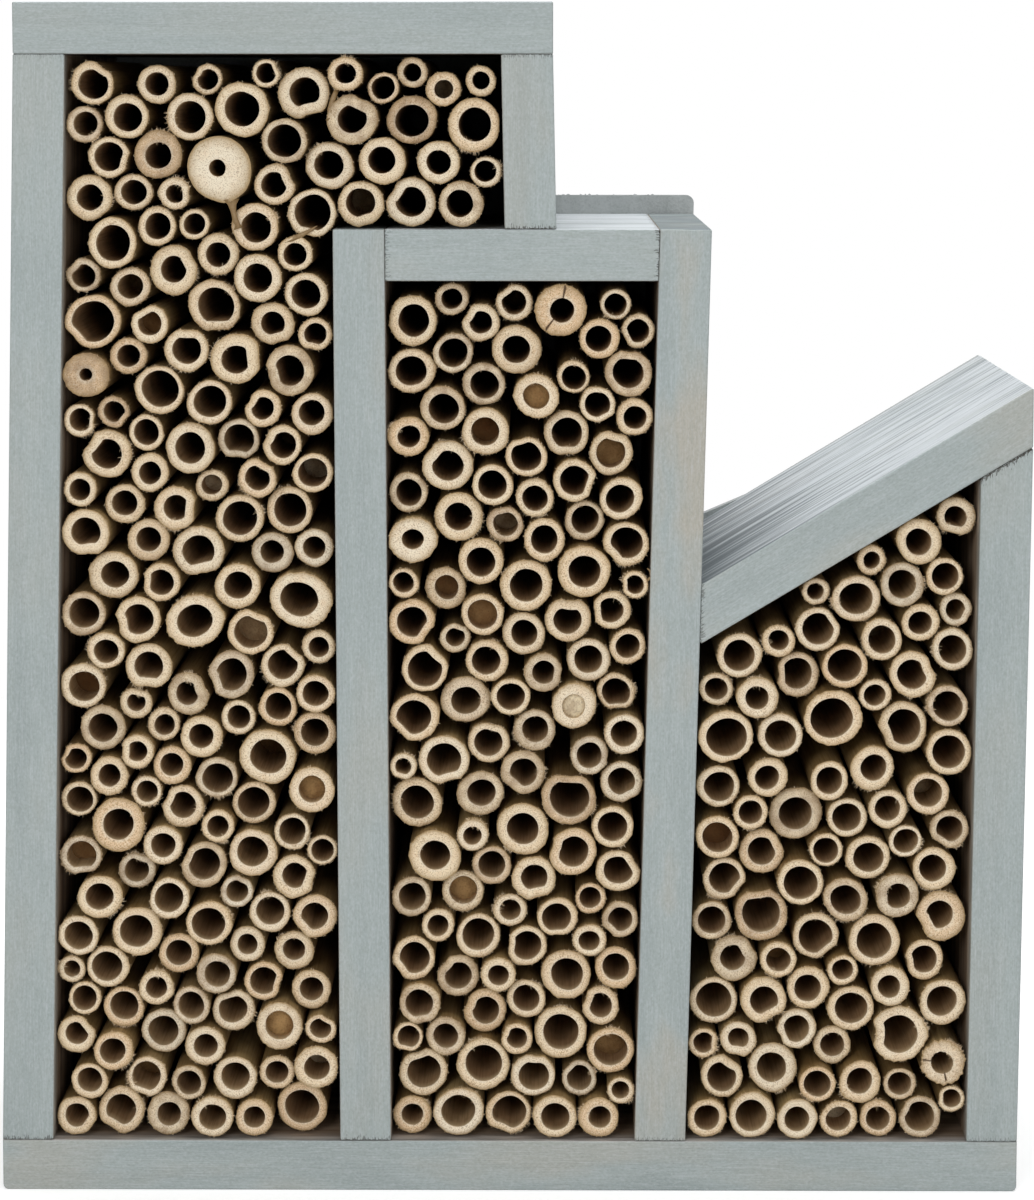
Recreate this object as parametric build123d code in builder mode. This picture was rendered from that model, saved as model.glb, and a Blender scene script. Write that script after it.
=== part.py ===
"""Insect hotel: three joined towers of painted softwood boards, open at the front,
packed with cut bamboo tubes and closed at the rear by a thin panel.

Millimetres, +Z up, the open front faces -Y. The origin is the centre of the footprint,
on the surface that the hotel stands on.

The front view uses its own coordinates: x from the left end of the base board, height
from its underside, and depth backwards from the front edges of the boards.
"""
from build123d import *

import os
import random
from dataclasses import dataclass
from math import cos, dist, radians, sin, tan

import numpy as np

# ---------------------------------------------------------------- driving dimensions

board = 15.0                  # thickness of every board
board_depth = 130.0           # front edge to rear edge of the boards
arris = 0.5                   # rounding of the boards' edges
base_arris = 1.6              # rounding of the base board's two lower ends

tall_clear = 85.0             # clear widths of the three towers at the floor
middle_clear = 72.0
right_clear = 83.0
tall_height = 350.0           # underside of the base to the top of each tower's roof
middle_height = 284.5
right_height = 181.0          # top of the slanted roof where it meets the middle tower
roof_slope = 31.0             # degrees, rising to the right

short_post_inset = 45.0       # from the middle roof's right end to the short post
left_wall_lean = 0.0212       # sideways drift to the right, per unit of height:
divider_lean = -0.0041        # the boards are butted by hand and stand a little askew
middle_post_lean = 0.0248
right_wall_lean = 0.0110
short_post_lean = -0.0200

panel_thickness = 5.0
panel_inset = 0.5             # panel edge to the outer faces of the boards
panel_rise = 6.0              # the panel stands this far above the middle roof
panel_rise_slope = 3.0        # and above the slanted roof, at its lower end,
panel_rise_run = 20.0         # from where it is cut down to the roof over this width
panel_corner = 2.5            # rounded corner beside the middle post

nail_shank = 0.9              # radii
nail_head = 2.0
nail_length = 30.0
nail_head_thickness = 0.7
brad_shank = 0.6
brad_head = 1.1
brad_length = 18.0
brad_head_thickness = 0.5
point_share = 2.5             # length of a nail's point, in shank radii
point_tip = 0.1               # radius left at the tip
head_set = 0.2                # every head sits this far under the surface
pin_length = 4.5              # hanger pins end inside the panel
nail_inset = 20.0             # first and last nail of a row, from the boards' edges
brad_spacing = 55.0           # about this far from brad to brad

hanger_width = 44.0
hanger_height = 9.0
hanger_sheet = 0.8
hanger_stand = 1.6            # gap behind the raised middle of the hanger
hanger_foot = 7.0             # length of each foot that lies on the panel
hanger_drop = 22.5            # top of the middle tower down to the hangers' centres
hanger_tooth = 2.4            # pitch of the teeth
hanger_teeth = 9

tube_radius_mean = 6.35
tube_radius_spread = 0.85
tube_radius_low = 4.6
tube_radius_high = 8.6
filler_radii = (6.2, 5.6, 5.0, 4.5, 4.1)      # thinner canes pushed into what is left
tube_play = 0.26              # air around each tube, because bamboo is never straight
grid = 0.25                   # step of the search for places
most_misses = 25              # sizes tried in vain before a tower gets its thinner canes
least_recess = 0.3            # a tube's end lies this far behind the boards' front edges,
usual_recess = 2.5            # mostly this far,
deepest_recess = 9.0          # and at most this far
wall_shares = (0.24, 0.48, 0.33)              # a cane's wall in radii: least, most and usual
groove_depths = (0.1, 0.2)                    # a groove's depth in radii: least and most
node_depths = (6.0, 50.0)                     # front end to a node wall: least and most
node_wall_thickness = 2.5     # the wall that closes a cane at a node
node_wall_share = 0.14        # share of tubes with a node wall inside
groove_share = 0.36           # share of tubes with the flat groove above a node
courses = {"tall": 12, "middle": 8, "right": 6}        # bundles of tubes, one above another
wide_bundles = {"tall": 2, "middle": 1, "right": 1}    # bundles of the widest open tubes
wide_bundle_size = 7
seed = 27

# ---------------------------------------------------------------- derived layout

hanger_level = middle_height - hanger_drop
left_wall_x = 0.0
divider_x = left_wall_x + board + tall_clear
middle_post_x = divider_x + board + middle_clear
right_wall_x = middle_post_x + board + right_clear
base_length = right_wall_x + board

slope = tan(radians(roof_slope))
roof_drop = board / cos(radians(roof_slope))   # vertical thickness of the slanted roof


@dataclass
class Upright:
    """An upright board: its left edge at the floor, and its drift per unit of height"""

    x: float
    lean: float

    def left(self, height):
        return self.x + self.lean * (height - board)

    def right(self, height):
        return self.left(height) + board

    def centre(self, height):
        return self.left(height) + board / 2


left_wall = Upright(left_wall_x, left_wall_lean)
divider = Upright(divider_x, divider_lean)
middle_post = Upright(middle_post_x, middle_post_lean)
right_wall = Upright(right_wall_x, right_wall_lean)

roof_start = middle_post.right(right_height)   # x where the slanted roof's top line starts


def roof_top(x):
    return right_height + slope * (x - roof_start)


def roof_under(x):
    return roof_top(x) - roof_drop


def under_roof(x, lean):
    """The point where a leaning line from (x, top of the base) meets the roof's underside"""
    height = (roof_under(x) - slope * lean * board) / (1 - slope * lean)
    return x + lean * (height - board), height


roof_tip_x, roof_tip_height = under_roof(right_wall.right(board), right_wall_lean)
overall_width = roof_tip_x
overall_depth = board_depth + panel_thickness + hanger_stand + hanger_sheet

middle_roof_left = divider.right(middle_height)
middle_roof_right = middle_post.left(middle_height)
short_post_right = middle_roof_right - short_post_inset + board
short_post = Upright(short_post_right - board - short_post_lean * (middle_height - board), short_post_lean)
tall_roof_left = left_wall.left(tall_height - board)
tall_roof_right = short_post.right(tall_height - board)

front = Plane(
    origin=(-overall_width / 2, -overall_depth / 2, 0), x_dir=(1, 0, 0), z_dir=(0, -1, 0)
)


def place(x, depth, height):
    """Front view coordinates to the part's own frame"""
    return (x - overall_width / 2, depth - overall_depth / 2, height)


# ---------------------------------------------------------------- nails and brads

nail_depths = [nail_inset, board_depth / 2, board_depth - nail_inset]
pair_depths = [(near + far) / 2 for near, far in zip(nail_depths, nail_depths[1:])]


def nail_row(x, height, outwards, depths=nail_depths):
    """Places along the depth for nails whose heads face outwards (x and height parts)"""
    across, up = outwards
    return [
        Plane(origin=place(x, depth, height), z_dir=(across, 0, up)).location
        for depth in depths
    ]


def brad_row(start, end):
    """Places on the panel's rear face, evenly from start to end, both ends included"""
    gaps = max(1, round(dist(start, end) / brad_spacing))
    steps = [i / gaps for i in range(gaps + 1)]
    return [
        Plane(
            origin=place(
                start[0] + (end[0] - start[0]) * step,
                board_depth + panel_thickness,
                start[1] + (end[1] - start[1]) * step,
            ),
            z_dir=(0, 1, 0),
        ).location
        for step in steps
    ]


def drive(places, shank, head, length, head_thickness, mode=Mode.ADD):
    """Nails at the given places, or with Mode.SUBTRACT the holes that they fill"""
    top = (Align.CENTER, Align.CENTER, Align.MAX)
    head_top = 0 if mode == Mode.SUBTRACT else head_set
    point = point_share * shank
    with Locations(*places):
        with Locations((0, 0, -head_top)):
            Cylinder(head, head_set + head_thickness - head_top, align=top, mode=mode)
        with Locations((0, 0, -head_set)):
            Cylinder(shank, length - point, align=top, mode=mode)
        with Locations((0, 0, -head_set - length + point)):
            Cone(point_tip, shank, point, align=top, mode=mode)


def drive_nails(places, mode=Mode.ADD):
    drive(places, nail_shank, nail_head, nail_length, nail_head_thickness, mode)


def drive_brads(places, mode=Mode.ADD):
    drive(places, brad_shank, brad_head, brad_length, brad_head_thickness, mode)


def drive_pins(places, mode=Mode.ADD):
    drive(places, brad_shank, brad_head, pin_length, brad_head_thickness, mode)


up, down, to_left, to_right = (0, 1), (0, -1), (-1, 0), (1, 0)
middle_roof_level = middle_height - board / 2
post_end_level = right_height - roof_drop / 2 + board / 4
nail_sideways = (nail_length - board) * sin(radians(roof_slope))     # inside the right wall
wall_entry_x = under_roof(right_wall.centre(board) - nail_sideways / 2, right_wall_lean)[0]
wall_nail_x = wall_entry_x - board * sin(radians(roof_slope))
square_to_roof = (-slope, 1)

nails = {
    "roof_to_wall": nail_row(left_wall.centre(tall_height - board), tall_height, up),
    "roof_to_post": nail_row(short_post.centre(tall_height - board), tall_height, up),
    "base_to_wall": nail_row(left_wall.centre(board), 0, down),
    "base_to_divider": nail_row(divider.centre(board), 0, down),
    "base_to_post": nail_row(middle_post.centre(board), 0, down),
    "base_to_right": nail_row(right_wall.centre(board), 0, down),
    "divider_to_roof": nail_row(divider.left(middle_roof_level), middle_roof_level, to_left),
    "post_to_roof": nail_row(middle_post.right(middle_roof_level), middle_roof_level, to_right),
    "roof_to_short_post": nail_row(
        short_post.centre(middle_height), middle_height - board, down, pair_depths
    ),
    "post_to_slope": nail_row(middle_post.left(post_end_level), post_end_level, to_left, pair_depths),
    "slope_to_right": nail_row(wall_nail_x, roof_top(wall_nail_x), square_to_roof),
}


def brads_up(upright, top):
    """A row of brads up the middle of an upright board"""
    start = 2 * board
    return brad_row((upright.centre(start), start), (upright.centre(top), top))


low, high = board / 2, tall_height - board / 2
wall_top = under_roof(right_wall.left(board), right_wall_lean)[1]
slope_start = (roof_start + board, roof_top(roof_start + board) - roof_drop / 2)
slope_end = (roof_tip_x - board, roof_top(roof_tip_x - board) - roof_drop / 2)
brads = (
    brads_up(left_wall, high)
    + brad_row((tall_roof_left + 3 * board, high), (tall_roof_right - board / 2, high))
    + brads_up(divider, middle_roof_level)
    + brads_up(middle_post, middle_roof_level)
    + brads_up(right_wall, wall_top - 2 * board)
    + brad_row(slope_start, slope_end)
    + brad_row((board, low), (base_length - board, low))
)

# ---------------------------------------------------------------- boards


def cut_board(outline, rows):
    """Inside a BuildPart: an outline in the front view, as deep as a board, with its nail holes"""
    with BuildSketch(front) as face:
        with BuildLine():
            Polyline(*outline, close=True)
        make_face()
    extrude(face.sketch, amount=-board_depth)
    fillet(edges(), arris)
    for row in rows:
        drive_nails(nails[row], Mode.SUBTRACT)
    drive_brads(brads, Mode.SUBTRACT)


def upright_outline(upright, top):
    return [
        (upright.left(board), board),
        (upright.right(board), board),
        (upright.right(top), top),
        (upright.left(top), top),
    ]


with BuildPart() as base_board:
    with BuildSketch(front):
        Rectangle(base_length, board, align=(Align.MIN, Align.MIN))
    extrude(amount=-board_depth)
    fillet(edges().filter_by(Axis.Y).group_by(Axis.Z)[0], base_arris)
    fillet(faces().sort_by(Axis.Y)[0].edges(), arris)
    fillet(faces().sort_by(Axis.Y)[-1].edges(), arris)
    for joint in ("base_to_wall", "base_to_divider", "base_to_post", "base_to_right"):
        drive_nails(nails[joint], Mode.SUBTRACT)
    drive_brads(brads, Mode.SUBTRACT)

with BuildPart() as left_wall_board:
    cut_board(upright_outline(left_wall, tall_height - board), ["roof_to_wall", "base_to_wall"])

with BuildPart() as tall_roof:
    cut_board(
        [
            (tall_roof_left, tall_height - board),
            (tall_roof_right, tall_height - board),
            (tall_roof_right, tall_height),
            (tall_roof_left, tall_height),
        ],
        ["roof_to_wall", "roof_to_post"],
    )

with BuildPart() as short_post_board:
    cut_board(
        [
            (short_post.left(middle_height), middle_height),
            (short_post.right(middle_height), middle_height),
            (short_post.right(tall_height - board), tall_height - board),
            (short_post.left(tall_height - board), tall_height - board),
        ],
        ["roof_to_post", "roof_to_short_post"],
    )

with BuildPart() as divider_board:
    cut_board(upright_outline(divider, middle_height), ["base_to_divider", "divider_to_roof"])

with BuildPart() as middle_roof:
    cut_board(
        [
            (divider.right(middle_height - board), middle_height - board),
            (middle_post.left(middle_height - board), middle_height - board),
            (middle_roof_right, middle_height),
            (middle_roof_left, middle_height),
        ],
        ["divider_to_roof", "post_to_roof", "roof_to_short_post"],
    )

with BuildPart() as middle_post_board:
    cut_board(
        upright_outline(middle_post, middle_height), ["base_to_post", "post_to_roof", "post_to_slope"]
    )

with BuildPart() as slanted_roof:
    under_start = under_roof(middle_post.right(board), middle_post_lean)
    cut_board(
        [
            under_start,
            (roof_tip_x, roof_tip_height),
            (roof_tip_x, roof_top(roof_tip_x)),
            (roof_start, right_height),
        ],
        ["post_to_slope", "slope_to_right"],
    )

with BuildPart() as right_wall_board:
    cut_board(
        [
            (right_wall.left(board), board),
            (right_wall.right(board), board),
            (roof_tip_x, roof_tip_height),
            under_roof(right_wall.left(board), right_wall_lean),
        ],
        ["base_to_right", "slope_to_right"],
    )

boards = {
    "base_board": base_board,
    "left_wall": left_wall_board,
    "tall_roof": tall_roof,
    "short_post": short_post_board,
    "divider": divider_board,
    "middle_roof": middle_roof,
    "middle_post": middle_post_board,
    "slanted_roof": slanted_roof,
    "right_wall": right_wall_board,
}

# ---------------------------------------------------------------- back panel and hangers

hanger_xs = [
    (left_wall.right(hanger_level) + divider.left(hanger_level)) / 2,
    (divider.right(hanger_level) + middle_post.left(hanger_level)) / 2,
]
panel_rear = board_depth + panel_thickness
pin_offset = (hanger_width - hanger_foot) / 2


def rear_places(offsets, depth):
    return [
        Plane(origin=place(x + offset, depth, hanger_level), z_dir=(0, 1, 0)).location
        for x in hanger_xs
        for offset in offsets
    ]


pin_top = panel_rear + hanger_sheet + brad_head_thickness + head_set
pins = rear_places((-pin_offset, pin_offset), pin_top)

with BuildPart() as back_panel:
    with BuildSketch(front.offset(-board_depth)) as panel_outline:
        with BuildLine():
            panel_top = middle_height + panel_rise
            panel_right = middle_post.right(middle_height)
            panel_cut = roof_start + panel_rise_run
            Polyline(
                (left_wall.left(board) + panel_inset, panel_inset),
                (base_length - panel_inset, panel_inset),
                (roof_tip_x - panel_inset, roof_tip_height),
                (roof_tip_x - panel_inset, roof_top(roof_tip_x) - panel_inset),
                (panel_cut, roof_top(panel_cut) - panel_inset),
                (roof_start, right_height + panel_rise_slope),
                (panel_right, panel_top),
                (tall_roof_right - panel_inset, panel_top),
                (tall_roof_right - panel_inset, tall_height - panel_inset),
                (tall_roof_left + panel_inset, tall_height - panel_inset),
                close=True,
            )
        make_face()
        fillet(vertices().sort_by_distance((panel_right, panel_top, 0))[0], panel_corner)
    extrude(amount=-panel_thickness)
    drive_brads(brads, Mode.SUBTRACT)
    drive_pins(pins, Mode.SUBTRACT)

with BuildPart() as hangers:
    half = hanger_width / 2
    knee = half - hanger_foot
    rise = hanger_stand + hanger_sheet
    outer_line = [
        (-half, hanger_sheet),
        (-knee, hanger_sheet),
        (-knee + rise, rise),
        (knee - rise, rise),
        (knee, hanger_sheet),
        (half, hanger_sheet),
    ]
    inner_line = [
        (half, 0),
        (knee + hanger_sheet / 2, 0),
        (knee - rise + hanger_sheet / 2, hanger_stand),
        (-knee + rise - hanger_sheet / 2, hanger_stand),
        (-knee - hanger_sheet / 2, 0),
        (-half, 0),
    ]
    for x in hanger_xs:
        side = Plane(
            origin=place(x, panel_rear, hanger_level), x_dir=(1, 0, 0), z_dir=(0, 0, 1)
        )
        with BuildSketch(side):
            with BuildLine():
                Polyline(*outer_line, *inner_line, close=True)
            make_face()
        extrude(amount=hanger_height / 2, both=True)
        with BuildSketch(Plane(origin=place(x, panel_rear, hanger_level - hanger_height / 2),
                               x_dir=(1, 0, 0), z_dir=(0, -1, 0))):
            with GridLocations(hanger_tooth, 0, hanger_teeth, 1):
                RegularPolygon(hanger_tooth / 2, 4)
        extrude(amount=-2 * rise, mode=Mode.SUBTRACT)
    drive_pins(pins, Mode.SUBTRACT)

# ---------------------------------------------------------------- bamboo tubes


@dataclass
class Tube:
    """One cut cane, placed in the front view"""

    x: float
    height: float
    radius: float
    bore: float
    recess: float
    groove: float = 0.0        # depth of the groove along the cane, 0 for none
    groove_angle: float = 0.0
    node_depth: float = 0.0    # front end to the node wall, 0 for an open cane
    name: str = ""


@dataclass
class Marked:
    """A cane that stands out, with the place wished for it: from a tower's inner left
    wall at the floor, and up from the floor"""

    name: str
    tower: str
    across: float
    up: float
    radius: float
    bore: float
    groove: float = 0.0
    groove_angle: float = 0.0
    node_depth: float = 0.0


marked_tubes = [
    Marked("great_pale_tube", "tall", 51, 287, 9.7, 2.5),
    Marked("thick_walled_tube", "tall", 10, 227, 6.9, 1.9),
    Marked("broad_ring_tube", "tall", 74, 161, 9.2, 5.6),
    Marked("oval_ring_tube", "tall", 43, 155, 8.8, 5.4),
    Marked("closed_node_tube", "tall", 77, 105, 6.8, 4.0, node_depth=7.0),
    Marked("stained_node_tube", "tall", 67, 34, 7.3, 4.4, node_depth=5.0),
    Marked("pith_tube", "middle", 43, 221, 6.8, 2.8, node_depth=6.0),
    Marked("cracked_tube", "middle", 50, 246, 7.7, 3.6),
    Marked("pale_ring_tube", "middle", 7, 179, 7.2, 3.2),
    Marked("solid_tube", "middle", 54, 130, 6.9, 3.6, node_depth=1.5),
    Marked("wide_brown_tube", "right", 43, 126, 8.8, 6.3),
    Marked("wide_left_tube", "right", 10, 121, 8.2, 6.0),
    Marked("heart_tube", "right", 63, 32, 8.4, 5.6, groove=1.5, groove_angle=180),
    Marked("frayed_tube", "right", 76, 27, 6.8, 3.4),
]

tower_outlines = {
    "tall": [
        (left_wall.right(board), board),
        (divider.left(board), board),
        (divider.left(middle_height), middle_height),
        (short_post.left(middle_height), middle_height),
        (short_post.left(tall_height - board), tall_height - board),
        (left_wall.right(tall_height - board), tall_height - board),
    ],
    "middle": [
        (divider.right(board), board),
        (middle_post.left(board), board),
        (middle_post.left(middle_height - board), middle_height - board),
        (divider.right(middle_height - board), middle_height - board),
    ],
    "right": [
        (middle_post.right(board), board),
        (right_wall.left(board), board),
        under_roof(right_wall.left(board), right_wall_lean),
        under_roof(middle_post.right(board), middle_post_lean),
    ],
}


class Room:
    """The free space of one tower in the front view, as the distance from each point of
    a grid to the nearest wall or tube"""

    def __init__(self, outline):
        xs, heights = zip(*outline)
        self.x, self.height = np.meshgrid(
            np.arange(min(xs), max(xs), grid), np.arange(min(heights), max(heights), grid)
        )
        self.free = np.full(self.x.shape, np.inf)
        inside = np.zeros(self.x.shape, bool)
        for start, end in zip(outline, outline[1:] + outline[:1]):
            self.free = np.minimum(self.free, self.distance_to_wall(start, end))
            if start[1] != end[1]:
                crosses = (start[1] > self.height) != (end[1] > self.height)
                share = (self.height - start[1]) / (end[1] - start[1])
                inside ^= crosses & (self.x < start[0] + share * (end[0] - start[0]))
        self.free[~inside] = -1

    def distance_to_wall(self, start, end):
        across, up = end[0] - start[0], end[1] - start[1]
        share = ((self.x - start[0]) * across + (self.height - start[1]) * up) / (across**2 + up**2)
        share = np.clip(share, 0, 1)
        return np.hypot(self.x - start[0] - share * across, self.height - start[1] - share * up)

    def take(self, radius, wish=None):
        """The lowest place that holds the radius, or the nearest to a wish; None if full"""
        fits = self.free >= radius + tube_play
        if not fits.any():
            return None
        if wish is None:
            spot = np.unravel_index(np.argmax(fits), fits.shape)
        else:
            far = np.hypot(self.x - wish[0], self.height - wish[1])
            spot = np.unravel_index(np.argmin(np.where(fits, far, np.inf)), fits.shape)
        x, height = float(self.x[spot]), float(self.height[spot])
        self.free = np.minimum(self.free, np.hypot(self.x - x, self.height - height) - radius)
        return x, height


def cut_cane(x, height, radius):
    """A cane of the given radius, with the wall, ends and faults that grew or were cut"""
    wall_share = random.triangular(*wall_shares)
    grooved = random.random() < groove_share
    walled = random.random() < node_wall_share
    return Tube(
        x,
        height,
        radius,
        bore=radius * (1 - wall_share),
        recess=random.triangular(least_recess, deepest_recess, usual_recess),
        groove=radius * random.uniform(*groove_depths) if grooved else 0.0,
        groove_angle=random.uniform(0, 360),
        node_depth=random.uniform(*node_depths) if walled else 0.0,
    )


def fill_tower(tower):
    outline = tower_outlines[tower]
    room = Room(outline)
    tubes = []
    for mark in marked_tubes:
        if mark.tower == tower:
            x, height = room.take(mark.radius, (outline[0][0] + mark.across, board + mark.up))
            tubes.append(
                Tube(
                    x,
                    height,
                    mark.radius,
                    mark.bore,
                    recess=random.uniform(least_recess, usual_recess),
                    groove=mark.groove,
                    groove_angle=mark.groove_angle,
                    node_depth=mark.node_depth,
                    name=mark.name,
                )
            )
    misses = 0
    while misses < most_misses:
        radius = random.gauss(tube_radius_mean, tube_radius_spread)
        radius = min(max(radius, tube_radius_low), tube_radius_high)
        spot = room.take(radius)
        if spot is None:
            misses += 1
        else:
            tubes.append(cut_cane(*spot, radius))
    for radius in filler_radii:
        spot = room.take(radius)
        while spot is not None:
            tubes.append(cut_cane(*spot, radius))
            spot = room.take(radius)
    return tubes


def groove_place(tube):
    """Centre of the round that cuts the groove, from the tube's own centre"""
    return PolarLocations(2 * tube.radius - tube.groove, 1, tube.groove_angle)


def add_tube(tube):
    """Inside a BuildPart: one cane from its recessed front end back to the panel"""
    wall = tube.radius - tube.bore
    with BuildSketch(mode=Mode.PRIVATE) as inside:
        with Locations((tube.x, tube.height)):
            Circle(tube.bore)
            if tube.groove:
                with groove_place(tube):
                    Circle(tube.radius + wall, mode=Mode.SUBTRACT)
    with BuildSketch(front.offset(-tube.recess)) as section:
        with Locations((tube.x, tube.height)):
            Circle(tube.radius)
            if tube.groove:
                with groove_place(tube):
                    Circle(tube.radius, mode=Mode.SUBTRACT)
        add(inside.sketch_local, mode=Mode.SUBTRACT)
    extrude(section.sketch, amount=-(board_depth - tube.recess))
    if tube.node_depth:
        with BuildSketch(front.offset(-tube.recess - tube.node_depth)) as node_wall:
            add(inside.sketch_local)
        extrude(node_wall.sketch, amount=-node_wall_thickness)


random.seed(seed)
tube_groups = {}
for tower in tower_outlines:
    tubes = fill_tower(tower)
    tube_groups.update({tube.name: [tube] for tube in tubes if tube.name})
    plain = [tube for tube in tubes if not tube.name]
    open_tubes = [tube for tube in plain if not tube.groove and not tube.node_depth]
    open_tubes.sort(key=lambda tube: -tube.bore)
    for bundle in range(wide_bundles[tower]):
        start = bundle * wide_bundle_size
        tube_groups[f"{tower}_wide_tubes_{bundle + 1}"] = open_tubes[start : start + wide_bundle_size]
    chosen = open_tubes[: wide_bundles[tower] * wide_bundle_size]
    rest = sorted((tube for tube in plain if tube not in chosen), key=lambda tube: tube.height)
    for course in range(courses[tower]):
        start = course * len(rest) // courses[tower]
        end = (course + 1) * len(rest) // courses[tower]
        tube_groups[f"{tower}_tubes_{course + 1:02d}"] = rest[start:end]

# ---------------------------------------------------------------- files

os.makedirs("parts", exist_ok=True)


def write(name, piece):
    piece.part.label = name
    export_step(piece.part, f"parts/{name}.step")


for name, piece in boards.items():
    write(name, piece)
write("back_panel", back_panel)
write("hangers", hangers)

with BuildPart() as frame_nails:
    for row in nails.values():
        drive_nails(row)
write("frame_nails", frame_nails)

with BuildPart() as panel_brads:
    drive_brads(brads)
write("panel_brads", panel_brads)

with BuildPart() as hanger_pins:
    drive_pins(pins)
write("hanger_pins", hanger_pins)

for name, tubes in tube_groups.items():
    with BuildPart() as bundle:
        for tube in tubes:
            add_tube(tube)
    write(name, bundle)

print(sum(len(tubes) for tubes in tube_groups.values()), "tubes")
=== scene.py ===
import math
import random

import bmesh
import bpy
from mathutils import Matrix, Vector, noise


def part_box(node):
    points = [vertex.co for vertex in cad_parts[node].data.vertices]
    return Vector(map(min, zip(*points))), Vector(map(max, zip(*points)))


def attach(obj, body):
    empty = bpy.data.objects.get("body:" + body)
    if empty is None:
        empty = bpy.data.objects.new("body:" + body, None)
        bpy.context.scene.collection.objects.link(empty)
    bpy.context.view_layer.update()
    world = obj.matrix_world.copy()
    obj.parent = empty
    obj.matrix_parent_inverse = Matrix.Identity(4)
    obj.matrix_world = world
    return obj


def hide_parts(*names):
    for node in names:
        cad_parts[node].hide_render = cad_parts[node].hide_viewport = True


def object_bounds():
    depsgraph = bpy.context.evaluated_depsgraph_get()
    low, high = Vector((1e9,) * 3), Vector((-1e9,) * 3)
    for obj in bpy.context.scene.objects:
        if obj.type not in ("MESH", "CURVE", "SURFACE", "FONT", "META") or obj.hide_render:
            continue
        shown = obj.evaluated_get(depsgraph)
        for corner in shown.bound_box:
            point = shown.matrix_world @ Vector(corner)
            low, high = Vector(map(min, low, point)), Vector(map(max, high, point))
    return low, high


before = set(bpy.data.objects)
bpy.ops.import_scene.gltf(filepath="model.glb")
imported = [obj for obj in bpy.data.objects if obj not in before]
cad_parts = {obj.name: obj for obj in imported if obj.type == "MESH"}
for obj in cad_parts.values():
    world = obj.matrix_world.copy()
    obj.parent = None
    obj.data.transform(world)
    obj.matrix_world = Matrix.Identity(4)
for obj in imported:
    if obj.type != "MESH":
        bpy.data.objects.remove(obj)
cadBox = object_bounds()
low = Vector(cadBox[0])       # left, front and bottom of the hotel's box
mm = 0.001
weld = 1e-6                   # corners closer than this are one
print("frame loaded:", len(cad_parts), "nodes")


def toLinear(hexColour):
    # sRGB hex to the linear values that sockets take
    values = [int(hexColour[i:i + 2], 16) / 255 for i in (1, 3, 5)]
    return [v / 12.92 if v <= 0.04045 else ((v + 0.055) / 1.055) ** 2.4 for v in values] + [1.0]


def addNode(tree, kind, inputs=None, take=0, **settings):
    # adds a node with its settings, gives each input a link or a value, and returns one output
    node = tree.nodes.new("ShaderNode" + kind)
    for name, value in settings.items():
        setattr(node, name, value)
    for socket, value in (inputs or {}).items():
        if isinstance(value, bpy.types.NodeSocket):
            tree.links.new(value, node.inputs[socket])
        else:
            node.inputs[socket].default_value = value
    return node.outputs[take] if node.outputs else None


def newMaterial(name, surface):
    # a material whose shader takes the sockets that surface(tree) returns
    material = bpy.data.materials.new(name)
    material.use_nodes = True
    tree = material.node_tree
    tree.nodes.clear()
    shader = addNode(tree, "BsdfPrincipled", surface(tree))
    addNode(tree, "OutputMaterial", {"Surface": shader})
    return material


def cloudy(tree, size, detail=3.0, turn=0.0, shift=(0, 0, 0), warp=0.0):
    # soft spots of the given size (x, y, z in metres), with x turned in the front view
    place = addNode(tree, "TexCoord", take="Object")
    fitted = addNode(
        tree, "Mapping",
        {"Vector": place, "Location": shift, "Rotation": (0, -turn, 0), "Scale": size},
        vector_type="TEXTURE",
    )
    return addNode(
        tree, "TexNoise",
        {"Vector": fitted, "Scale": 1.0, "Detail": detail, "Distortion": warp},
    )


def facing(tree, direction):
    # 1 where the surface faces the direction, and 0 past about 50 degrees from it
    turned = addNode(tree, "NewGeometry", take="True Normal")
    cosine = addNode(
        tree, "VectorMath", {0: turned, 1: direction}, take="Value", operation="DOT_PRODUCT"
    )
    return addNode(tree, "MapRange", {0: cosine, 1: 0.65, 2: 0.85})


def distanceFrom(tree, point, direction):
    # how far a point of the surface lies from a plane, on either side
    place = addNode(tree, "TexCoord", take="Object")
    offset = addNode(tree, "VectorMath", {0: place, 1: point}, operation="SUBTRACT")
    along = addNode(
        tree, "VectorMath", {0: offset, 1: direction}, take="Value", operation="DOT_PRODUCT"
    )
    return addNode(tree, "Math", {0: along}, operation="ABSOLUTE")


def layColours(tree, ground, layers):
    # colours laid over the ground in turn: mask, where it starts and ends, strength, colour
    for mask, start, end, strength, colour in layers:
        amount = addNode(tree, "MapRange", {0: mask, 1: start, 2: end, 4: strength})
        over = toLinear(colour) if isinstance(colour, str) else colour
        ground = addNode(tree, "Mix", {0: amount, 6: ground, 7: over}, take=2, data_type="RGBA")
    return ground


def finishPiece(name, shape, materials, node=None):
    # the end of a bmesh: a piece at the origin, riding on the hotel
    mesh = bpy.data.meshes.new(name)
    shape.to_mesh(mesh)
    shape.free()
    for material in materials:
        mesh.materials.append(material)
    piece = bpy.data.objects.new(name, mesh)
    bpy.context.scene.collection.objects.link(piece)
    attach(piece, "root")
    if node:
        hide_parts(node)


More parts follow.
